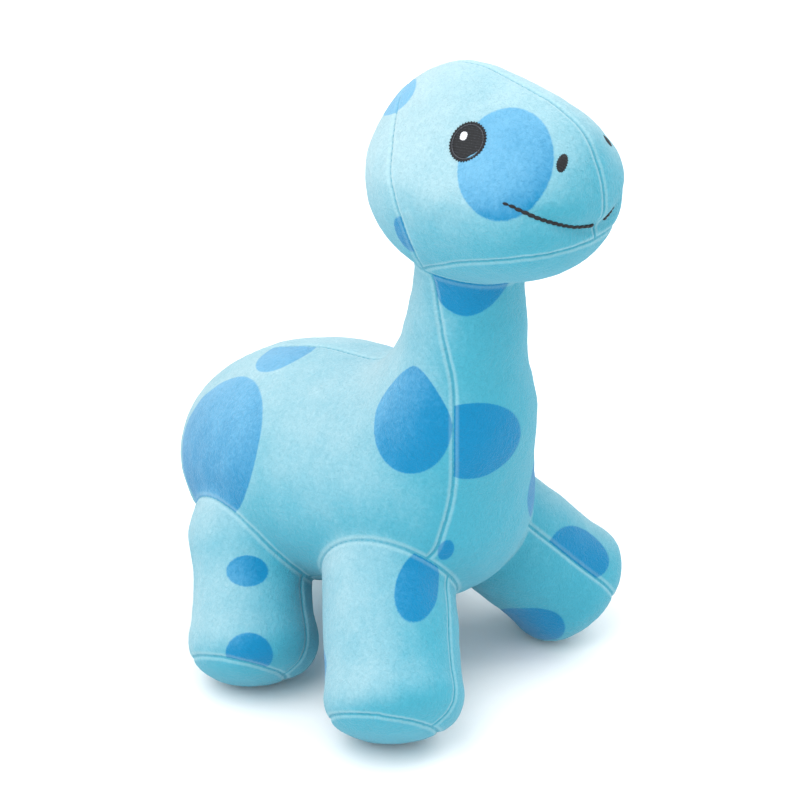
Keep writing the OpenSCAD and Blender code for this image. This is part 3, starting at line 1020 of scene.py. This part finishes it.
def spindle(centre, axis, up, length, width, height, sides=8, rings=6, belly=0.6):
    # a stitch: a round-ended thread, thickest in the middle
    across = np.cross(axis, up)
    points, weave = [], []
    for ring in range(rings + 1):
        t = ring / rings
        size = max(math.sin(math.pi * t), 0.0) ** belly
        for side in range(sides):
            angle = 2 * math.pi * side / sides
            offset = across * math.cos(angle) * width / 2 * size + up * math.sin(angle) * height / 2 * size
            points.append(centre + axis * (t - 0.5) * length + offset)
            weave.append(((t - 0.5) * length, angle * width / 2, 0))
    faces = []
    for ring in range(rings):
        for side in range(sides):
            a, b = ring * sides + side, ring * sides + (side + 1) % sides
            faces.append((a, b, b + sides, a + sides))
    return np.array(points), faces, np.array(weave)


def gathered(parts):
    points = np.concatenate([part[0] for part in parts])
    weave = np.concatenate([part[2] for part in parts])
    faces, start = [], 0
    for part in parts:
        faces += [tuple(corner + start for corner in face) for face in part[1]]
        start += len(part[0])
    return points, faces, weave


def threadPiece(name, parts, material):
    points, faces, weave = gathered(parts)
    piece = newPiece(name, points, faces, material)
    store(piece, "weave", weave)
    return piece


ownerOf = {}
for triangle, cloth, stretch in zip(skin.triangles.tolist(), skin.cloth.tolist(), skin.stretch.tolist()):
    name = clothNames[cloth]
    if cloth in bodyCloths:
        owner = ("trunk", "neck_lower", "neck_upper")[stretch]
    elif name.startswith("tail"):
        owner = "tail"
    elif "_leg_" in name:
        owner = name.rsplit("_", 1)[0]
    else:
        owner = "head"
    for point in triangle:
        best = ownerOf.get(point)
        if best is None or owner in ("trunk", "head"):
            ownerOf[point] = owner

stitches = {}
for run in seamRuns(seamEdges()):
    line = skinShaped[run]
    if len(line) < 3:
        continue
    for _ in range(2):
        line[1:-1] = line[1:-1] * 0.5 + (line[:-2] + line[2:]) * 0.25
    walked = np.concatenate([[0], np.cumsum(np.linalg.norm(np.diff(line, axis=0), axis=1))])
    for at in np.arange(stitchPlan["pitch"] / 2, walked[-1], stitchPlan["pitch"]):
        centre = np.array([np.interp(at, walked, line[:, i]) for i in range(3)])
        if centre[2] < 1.0:
            continue
        place = min(int(np.searchsorted(walked, at)), len(run) - 1)
        axis = unit(line[min(place + 1, len(run) - 1)] - line[max(place - 2, 0)])
        up = shapedNormals[run[place]]
        up = unit(up - axis * (up @ axis))
        made = spindle(centre - up * stitchPlan["sink"] * 0.2, axis, up, stitchPlan["length"],
                       stitchPlan["width"], stitchPlan["width"], 6, 4)
        stitches.setdefault(ownerOf[run[place]], []).append(made)
for body, parts in stitches.items():
    piece = threadPiece(f"{body}_seam_stitches", parts, seamThread)
    rigUp(piece, body)
print("seam stitches laid:", sum(len(parts) for parts in stitches.values()))

# the face: satin-stitched eyes and nostrils, and a row of stitches for the smile
eyePlan = {
    "half": (6.9, 7.6), "turn": 4, "rimWidth": 1.2, "rimHeight": 0.75,
    "teeth": 40, "tooth": 0.26, "discHeight": 0.42,
    "glintHalf": (1.5, 1.8), "glintHeight": 0.72,
}
nostrilPlan = {"half": (2.35, 4.4), "turn": -30, "teeth": 22, "tooth": 0.24,
               "height": 0.75}
mouthPlan = {
    "length": 3.3, "pitch": 2.4, "width": 1.5, "height": 1.2, "slant": 11,
}


def patch(frameOf, rings, spokes, shapeAt, heightAt):
    # a raised patch on the cloth, from its middle out; shapeAt and heightAt take share and angle
    centre, across, up, _ = frameOf
    flat = [(0.0, 0.0)]
    heights = [heightAt(0.0, 0.0)]
    for ring in range(1, rings + 1):
        share = ring / rings
        for spoke in range(spokes):
            angle = 2 * math.pi * spoke / spokes
            flat.append(shapeAt(share, angle))
            heights.append(heightAt(share, angle))
    flat = np.array(flat)
    base = centre + flat[:, :1] * across + flat[:, 1:] * up
    base = settle(base, 4)
    points = base + outward(base) * np.array(heights)[:, None]
    faces = [(0, 1 + spoke, 1 + (spoke + 1) % spokes) for spoke in range(spokes)]
    for ring in range(rings - 1):
        a = 1 + ring * spokes
        for spoke in range(spokes):
            following = (spoke + 1) % spokes
            faces.append((a + spoke, a + spokes + spoke, a + spokes + following, a + following))
    return points, faces, flat


def band(place, rings, spokes, shapeAt, heightAt):
    # a patch without its middle
    def shareOf(share):
        return (share * rings - 1) / (rings - 1)

    points, faces, flat = patch(place, rings, spokes, lambda s, a: shapeAt(shareOf(s), a),
                                lambda s, a: heightAt(shareOf(s), a))
    return points[1:], [tuple(corner - 1 for corner in face) for face in faces if len(face) == 4], flat[1:]


def oval(half, angle, reach, tooth=0.0):
    return (reach * half[0] + tooth) * math.cos(angle), (reach * half[1] + tooth) * math.sin(angle)


def arch(share):
    return math.sin(math.pi * min(max(share, 0.0), 1.0))


def embroider(name, made, material, node=None):
    points, faces, weave = made
    if weave.shape[1] == 2:
        weave = np.concatenate([weave, np.zeros((len(weave), 1))], 1)
    piece = threadPiece(name, [(points, faces, weave)], material)
    if node:
        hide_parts(node)
    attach(piece, "head")


eyeHalf, glintHalf, nostrilHalf = eyePlan["half"], eyePlan["glintHalf"], nostrilPlan["half"]
rimShare = 1 - eyePlan["rimWidth"] / eyeHalf[0]


def discShape(share, angle):
    return oval(eyeHalf, angle, share * (rimShare + 0.02))


def discHeight(share, angle):
    return eyePlan["discHeight"] - 0.25 * share ** 6


def ringShape(share, angle):
    return oval(eyeHalf, angle, rimShare - 0.015 + 0.07 * share)


def ringHeight(share, angle):
    return eyePlan["discHeight"] - 0.3 + 0.42 * arch(share)


def rimShape(share, angle):
    tooth = math.cos(angle * eyePlan["teeth"]) * eyePlan["tooth"] * max(share * 2 - 1, 0)
    return oval(eyeHalf, angle, rimShare + (1 - rimShare) * share + 0.012, tooth)


def rimHeight(share, angle):
    strand = 0.5 + 0.5 * math.cos(angle * eyePlan["teeth"])
    return -0.3 + (eyePlan["rimHeight"] + 0.16 * strand) * arch(share) ** 0.5


def glintShape(share, angle):
    square = 1 / max(abs(math.cos(angle)) ** 2.6 + abs(math.sin(angle)) ** 2.6, 1e-6) ** (1 / 2.6)
    return oval(glintHalf, angle, share * square * (1 + 0.05 * math.cos(angle * 13)))


def glintHeight(share, angle):
    return eyePlan["glintHeight"] - 0.5 * share ** 5


def nostrilShape(share, angle):
    tooth = math.cos(angle * nostrilPlan["teeth"]) * nostrilPlan["tooth"] * share ** 2
    return oval(nostrilHalf, angle, share, tooth)


def nostrilHeight(share, angle):
    ridge = 0.08 * math.cos(share * nostrilHalf[1] * math.sin(angle) * 6.5)
    return nostrilPlan["height"] * (1 - share ** 3) - 0.25 * share ** 8 + ridge * (1 - share)


for side, sign in (("right", -1), ("left", 1)):
    place = tangentFrame(middleOf(f"eye_disc_{side}"), eyePlan["turn"] * -sign)
    disc = patch(place, 10, 72, discShape, discHeight)
    embroider(f"eye_disc_{side}_thread", disc, blackThread, f"eye_disc_{side}")
    ring = band(place, 6, 120, ringShape, ringHeight)
    embroider(f"eye_ring_{side}_thread", ring, greyThread)
    points, faces, flat = band(place, 9, eyePlan["teeth"] * 6, rimShape, rimHeight)
    turnAround = np.arctan2(flat[:, 1], flat[:, 0])
    weave = np.stack([np.linalg.norm(flat, axis=1), turnAround * eyeHalf[0], turnAround * 0], 1)
    embroider(f"eye_rim_{side}_thread", (points, faces, weave), blackThread,
              f"eye_rim_{side}")
    glintAt = settle(middleOf(f"eye_glint_{side}")[None], 6, 6.0)[0]
    glint = patch((glintAt, *place[1:]), 6, 52, glintShape, glintHeight)
    embroider(f"eye_glint_{side}_thread", glint, whiteThread, f"eye_glint_{side}")
    place = tangentFrame(middleOf(f"nostril_{side}"), nostrilPlan["turn"] * -sign)
    nostril = patch(place, 9, nostrilPlan["teeth"] * 6, nostrilShape, nostrilHeight)
    embroider(f"nostril_{side}_thread", nostril, blackThread, f"nostril_{side}")

mouthParts = []
for sign in (-1, 1):
    line = headRoot + smileLine * (sign, 1, 1)
    span = np.linspace(0, 1, len(line))
    fine = np.linspace(0, 1, 90)
    smooth = np.stack([np.polyval(np.polyfit(span, line[:, i], 4), fine) for i in range(3)], 1)
    smooth = settle(smooth, 5)
    walked = np.concatenate([[0], np.cumsum(np.linalg.norm(np.diff(smooth, axis=0), axis=1))])
    for number, at in enumerate(np.arange(mouthPlan["pitch"] / 2, walked[-1] - 2.5, mouthPlan["pitch"])):
        centre = np.array([np.interp(at, walked, smooth[:, i]) for i in range(3)])
        ahead = np.array([np.interp(at + 1, walked, smooth[:, i]) for i in range(3)])
        up = outward(centre[None])[0]
        axis = unit(ahead - centre)
        turn = Matrix.Rotation(math.radians(mouthPlan["slant"] * -sign), 3, Vector(up))
        axis = np.array(turn @ Vector(axis))
        size = min(1.0, 0.72 + 0.12 * number)
        mouthParts.append(spindle(centre + up * 0.35, axis, up, mouthPlan["length"] * size,
                                  mouthPlan["width"] * size, mouthPlan["height"], 10, 10, 0.55))
piece = threadPiece("mouth_stitch_thread", mouthParts, blackThread)
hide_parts("mouth_stitch")
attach(piece, "head")
print("face embroidered")

# plain stage: pale floor, soft light and the camera
stagePlan = {
    "floor": 6.0, "aimFrom": (0, 25, 2), "azimuth": -52, "elevation": 26, "distance": 1000, "lens": 118,
    "worldStrength": 1.05, "keyPower": 19, "keySize": 1.5, "fillPower": 9,
}
bm = bmesh.new()
bmesh.ops.create_grid(bm, x_segments=2, y_segments=2, size=stagePlan["floor"])
floorMesh = bpy.data.meshes.new("floor")
bm.to_mesh(floorMesh)
bm.free()
floor = bpy.data.objects.new("floor", floorMesh)
bpy.context.scene.collection.objects.link(floor)
floorFinish = Finish("floorPaper")
paper = floorFinish.grain(floorFinish.add("ShaderNodeTexCoord", {}, {}, 3), 0.004, 3.0)
paperTone = floorFinish.blend(paper, (0.95, 0.95, 0.95, 1), (0.97, 0.97, 0.97, 1))
floorMesh.materials.append(floorFinish.dress(baseColor=paperTone, roughness=0.9))

world = bpy.data.worlds.new("softRoom")
bpy.context.scene.world = world
world.use_nodes = True
world.node_tree.nodes["Background"].inputs["Color"].default_value = (1, 1, 1, 1)
world.node_tree.nodes["Background"].inputs["Strength"].default_value = stagePlan["worldStrength"]

target = Vector((neckRoot + stagePlan["aimFrom"]) * millimetre)


def around(azimuth, elevation, distance):
    a, e = math.radians(azimuth), math.radians(elevation)
    back = Vector((math.sin(a) * math.cos(e), -math.cos(a) * math.cos(e), math.sin(e)))
    return target + back * distance * millimetre, back


def softLight(name, azimuth, elevation, power, size):
    lamp = bpy.data.lights.new(name, "AREA")
    lamp.energy = power
    lamp.size = size
    lampObject = bpy.data.objects.new(name, lamp)
    lampObject.location, back = around(azimuth, elevation, 1600)
    lampObject.rotation_euler = back.to_track_quat("Z", "Y").to_euler()
    bpy.context.scene.collection.objects.link(lampObject)


softLight("keyLight", -95, 58, stagePlan["keyPower"], stagePlan["keySize"])
softLight("fillLight", 60, 50, stagePlan["fillPower"], 1.2)

cameraData = bpy.data.cameras.new("camera")
cameraData.lens = stagePlan["lens"]
cameraData.sensor_width = 36
camera = bpy.data.objects.new("camera", cameraData)
camera.location, cameraBack = around(stagePlan["azimuth"], stagePlan["elevation"], stagePlan["distance"])
camera.rotation_euler = cameraBack.to_track_quat("Z", "Y").to_euler()
bpy.context.scene.collection.objects.link(camera)
bpy.context.scene.camera = camera
bpy.context.scene.view_settings.view_transform = "Standard"
print("stage set")
